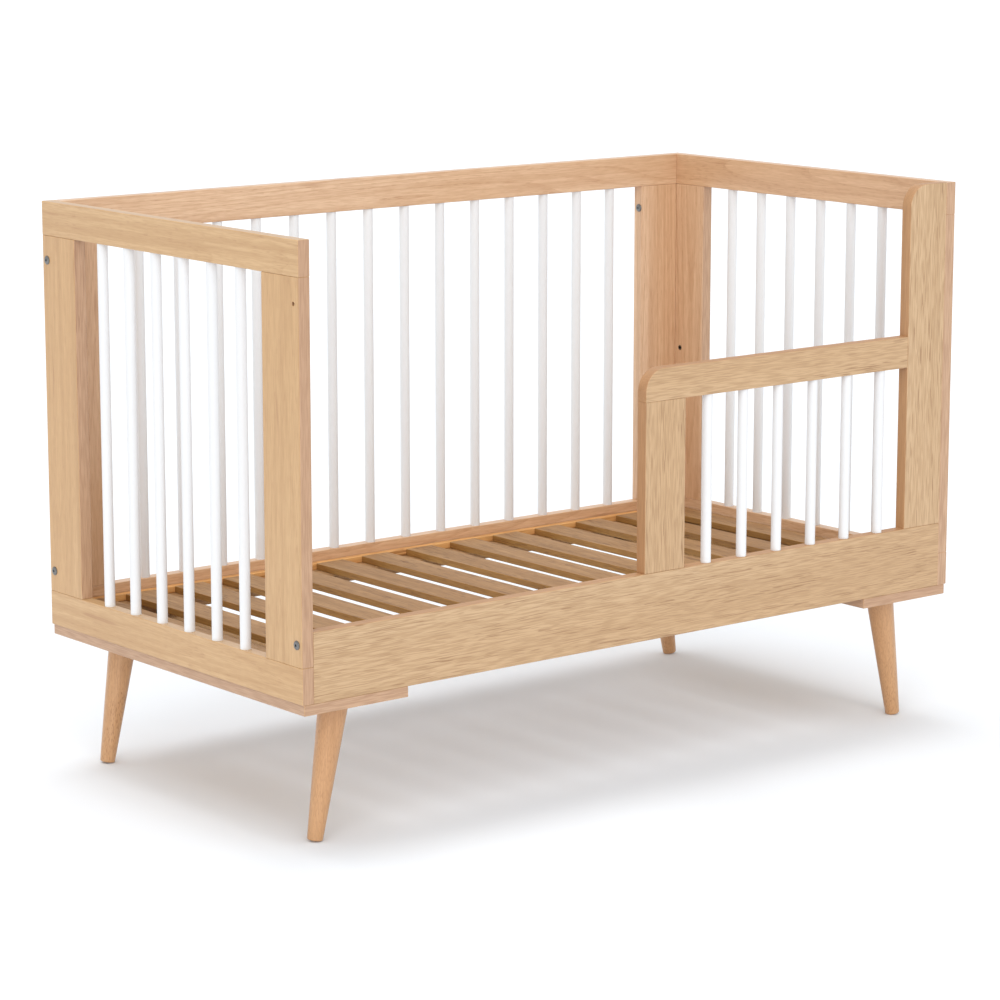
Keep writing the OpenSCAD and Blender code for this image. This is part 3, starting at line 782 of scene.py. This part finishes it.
# %% [markdown]
# ## Turned pieces
# Spindles and legs are round, as if off a lathe, so each is a profile, radius against distance, carried
# round an axis. A cylinder could stand for a spindle, but its ends would have no eased edge. All the
# spindles of a row share one mesh, as they share one node.

# %% Spindles
SPINDLE_EASE = 0.001


def turned(start, direction, distance, radius, segments=48):
    """Points start + distance * direction + radius * (cos t * side + sin t * other), as t goes round."""
    direction = np.array(direction) / np.linalg.norm(direction)
    side = np.cross(direction, [0, 1, 0])
    side = side / np.linalg.norm(side)
    other = np.cross(direction, side)
    angle = np.linspace(0, 2 * np.pi, segments, endpoint=False)
    ring = np.cos(angle)[:, None] * side + np.sin(angle)[:, None] * other
    return np.array(start) + distance[:, None, None] * direction + radius[:, None, None] * ring


def spindle_row(node):
    """Spindles with eased ends, each one a straight profile round an upright axis."""
    radius, length, feet = spindle_places(node)
    distance = np.array([0, SPINDLE_EASE, length / 2, length - SPINDLE_EASE, length])
    profile = np.array([radius - SPINDLE_EASE, radius, radius, radius, radius - SPINDLE_EASE])
    spindles = [solid(turned(foot, (0, 0, 1), distance, profile)) for foot in feet]
    return piece("visible_" + node, spindles, LACQUER)


for node in SPINDLE_ROWS:
    stands_for(spindle_row(node), node)
print("spindles", sum(count for count, _ in SPINDLE_ROWS.values()))

# %% [markdown]
# A leg is a straight taper with a rounded foot. It leans outwards, and its top is sawn level to sit flat
# under the plate. Cutting the top with a Boolean would work, but moving the last ring of points gives
# the same plane with even faces.

# %% Legs
LEG_SIDES = 72
TAPER_START = 0.02


def leg(node):
    """Radius grows straight from foot to top; the foot's edge is a quarter circle. Each point of the
    last ring slides along the axis until it reaches the plate."""
    foot, direction = LEGS[node]
    turn = np.linspace(0, np.pi / 2, 7)
    taper = np.linspace(TAPER_START, LEG_LENGTH, 12)
    distance = np.r_[FOOT_EDGE * (1 - np.cos(turn)), taper]
    radius = np.r_[LEG_FOOT - FOOT_EDGE + FOOT_EDGE * np.sin(turn),
                   LEG_FOOT + (LEG_TOP - LEG_FOOT) * taper / LEG_LENGTH]
    grid = turned(foot, direction, distance, radius, LEG_SIDES)
    grid[-1] += ((PLATE_Z - grid[-1, :, 2]) / direction[2])[:, None] * direction
    return piece("visible_" + node, [solid(grid)], wood("leg_beech", "Z"))


for node in LEGS:
    stands_for(drill(leg(node), holes_in(node)), node)
print("legs", len(LEGS))

# %% [markdown]
# ## Slatted base
# Fourteen slats lie across two bearers, and a pine strip closes their ends on each side. They are
# rougher and browner than the panels, and the strips are the warmest pieces of the bed. Each slat is its
# own board, because copies of one mesh would all show the same grain.

# %% Slatted base
STRIPS = ("base_front_strip", "base_back_strip")
for node in STRIPS:
    low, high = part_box(node)
    stands_for(piece("visible_" + node, [board(low, high, "X")], wood("strip_pine", "X")), node)

for node in SLATS:
    low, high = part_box(node)
    slat = piece("visible_" + node, [board(low, high, "Y")], wood("slat_beech", "Y"))
    drill(slat, holes_in(node))
    # The narrow faces take the darker golden wood, which is partly the raw edge's colour and partly painted
    # shade.
    stands_for(band(slat, 0, wood("slat_edge", "Y")), node)
print("slats", len(SLATS), "strips", len(STRIPS))

# %% [markdown]
# ## Bolt heads
# The connector bolts end in low domed heads with a hexagon socket. A dome with a hexagon cut out of it
# would leave ragged faces at the rim of the socket. Here each ring of points changes from a circle at
# the rim to a hexagon at the socket, and its height rises as it goes, so the faces stay even.

# %% Bolt heads
SOCKET_FLAT = 0.002
SOCKET_DEPTH = 0.002
SOCKET_CONE = 0.0003
RIM = 0.0002
BOLT_SIDES = 48


def socket_bolt(place, outwards, head_radius, head_height, shank_radius, shank_length):
    """Rings from the shank's end, round the rim, over the dome and down into the socket."""
    angle = np.linspace(0, 2 * np.pi, BOLT_SIDES, endpoint=False)
    hexagon = SOCKET_FLAT / np.cos((angle + np.pi / 6) % (np.pi / 3) - np.pi / 6)
    circle = np.ones_like(angle)
    share = np.linspace(1, 0, 8)[:, None]
    dome_radius = share * (head_radius - RIM) * circle + (1 - share) * hexagon
    dome_height = head_height * (0.45 + 0.55 * np.sqrt(1 - share ** 2)) * circle
    radius = np.vstack([shank_radius * circle, shank_radius * circle, head_radius * circle,
                        head_radius * circle, dome_radius, hexagon, 0.4 * hexagon])
    height = np.vstack([-shank_length * circle, 0 * circle, 0 * circle, 0.4 * head_height * circle,
                        dome_height, (head_height - SOCKET_DEPTH) * circle,
                        (head_height - SOCKET_DEPTH - SOCKET_CONE) * circle])
    grid = np.stack([outwards * height, radius * np.cos(angle), radius * np.sin(angle)], -1)
    return solid(grid + np.array(place))


print("socket across flats", 2 * SOCKET_FLAT)

# %% [markdown]
# Five short bolts and two long ones hold the panels together. The sleeve nuts of the long bolts are
# tubes with the same head, so each is made as a bolt and then bored. Four support bolts carry the base
# at its lowest level.

# %% Connector bolts, sleeve nuts and support bolts
CONNECTOR_HEAD = (0.0075, 0.0025)
CONNECTOR_R = 0.003
short = [socket_bolt((side * OUTER_X, face * BOLT_Y, BOLT_LOW), side, *CONNECTOR_HEAD, CONNECTOR_R, 0.070)
         for side in SIDES for face in SIDES]
short.append(socket_bolt((OUTER_X, -BOLT_Y, BOLT_HIGH), 1, *CONNECTOR_HEAD, CONNECTOR_R, 0.070))
long_bolts = [socket_bolt((side * OUTER_X, BOLT_Y, BOLT_HIGH), side, *CONNECTOR_HEAD, CONNECTOR_R, 0.097)
              for side in SIDES]
SUPPORT_FACE_X = INNER_X - 0.0208
supports = [socket_bolt((side * SUPPORT_FACE_X, face * SUPPORT_Y, SUPPORT_LEVELS[0]), -side,
                        0.006, 0.0033, CONNECTOR_R, 0.0328) for side in SIDES for face in SIDES]
for node, bolts in (("short_connector_bolts", short), ("long_connector_bolts", long_bolts),
                    ("support_bolts", supports)):
    stands_for(piece("visible_" + node, bolts, ZINC), node)

SLEEVE_LENGTH, SLEEVE_FLOOR = 0.035, 0.004
sleeves = [socket_bolt((side * POST_EDGE_X, BOLT_Y, BOLT_HIGH), -side, *CONNECTOR_HEAD,
                       SLEEVE_R, SLEEVE_LENGTH) for side in SIDES]
sleeve_bores = [level_x(side, POST_EDGE_X + SLEEVE_FLOOR, POST_EDGE_X + SLEEVE_LENGTH + PAST,
                        BOLT_Y, BOLT_HIGH, CONNECTOR_R + FIT) for side in SIDES]
stands_for(drill(piece("visible_sleeve_nuts", sleeves, ZINC), sleeve_bores), "sleeve_nuts")
print("bolts", len(short) + len(long_bolts) + len(sleeves) + len(supports))

# %% [markdown]
# ## Pieces that keep their exact shape
# The remaining pieces are out of sight or nearly so, and have exact bores and notches that already match
# their screws and bolts. Making them again would add nothing to see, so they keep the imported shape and
# only take a finish.

# %% Finish the remaining pieces
KEPT = {
    "base_front_bearer": wood("slat_beech", "X"), "base_back_bearer": wood("slat_beech", "X"),
    "base_left_rail": wood("slat_beech", "Y"), "base_right_rail": wood("slat_beech", "Y"),
    "end_dowel_pins": wood("leg_beech", "Z"), "back_dowel_pins": wood("leg_beech", "Z"),
    "guard_dowel_pins": wood("leg_beech", "Z"),
}
for node in ("leg_hanger_bolts", "leg_insert_nuts", "plate_screws", "barrel_nuts", "support_inserts",
             "slat_screws"):
    KEPT[node] = ZINC
for node, material in KEPT.items():
    mesh = frame["nodes"][node].data
    mesh.materials.clear()
    mesh.materials.append(material)
print("kept pieces", len(KEPT))

# %% [markdown]
# ## Floor and light
# A pale seamless floor under a bright white room gives the flat, nearly shadowless look of a furniture
# studio. Lamps close to the bed would light its near end more, so both lights are suns. The key sun is
# almost overhead and small enough to give the shadow under the bed an edge, but wide enough to melt the
# shadows of the single slats. The fill sun is wide and low, comes from the front left and lights the
# upright faces. The floor is slightly blue, because the wood throws warm light on it.

# %% Floor and light
FLOOR_HALF = 150.0
PAPER_COLOUR = (0.855, 0.89, 0.93, 1)
floor_mesh = bpy.data.meshes.new("floor")
corners = [(-FLOOR_HALF, -FLOOR_HALF, 0), (FLOOR_HALF, -FLOOR_HALF, 0),
           (FLOOR_HALF, FLOOR_HALF, 0), (-FLOOR_HALF, FLOOR_HALF, 0)]
floor_mesh.from_pydata(corners, [], [(0, 1, 2, 3)])
floor = bpy.data.objects.new("floor", floor_mesh)
scene.collection.objects.link(floor)
paper, _, paper_shader = fresh_material("studio_paper")
paper_shader.inputs["Base Color"].default_value = PAPER_COLOUR
paper_shader.inputs["Roughness"].default_value = 0.9
paper_shader.inputs["Specular IOR Level"].default_value = 0.0
floor_mesh.materials.append(paper)

ROOM_LIGHT = 0.83
SUNS = (("key", 0.90, 28, (-12, -8)), ("fill", 1.3, 60, (60, -36)))

world = bpy.data.worlds.new("studio")
scene.world = world
world.use_nodes = True
world.node_tree.nodes["Background"].inputs["Color"].default_value = (1, 1, 1, 1)
world.node_tree.nodes["Background"].inputs["Strength"].default_value = ROOM_LIGHT


def soft_sun(name, power, softness, tilt, turn):
    """A sun that is softness degrees wide: it shines straight down, then tips by tilt about X and is
    turned about Z."""
    lamp = bpy.data.objects.new(name, bpy.data.lights.new(name, "SUN"))
    scene.collection.objects.link(lamp)
    lamp.data.energy = power
    lamp.data.angle = math.radians(softness)
    lamp.rotation_euler = (math.radians(tilt), 0, math.radians(turn))


for name, power, softness, (tilt, turn) in SUNS:
    soft_sun(name, power, softness, tilt, turn)
scene.view_settings.view_transform = "Standard"
print("room", ROOM_LIGHT, "suns", len(SUNS))

# %% [markdown]
# ## Finish
# The visible pieces have to fill the same box as the imported model.

# %% Finish
bpy.context.view_layer.update()
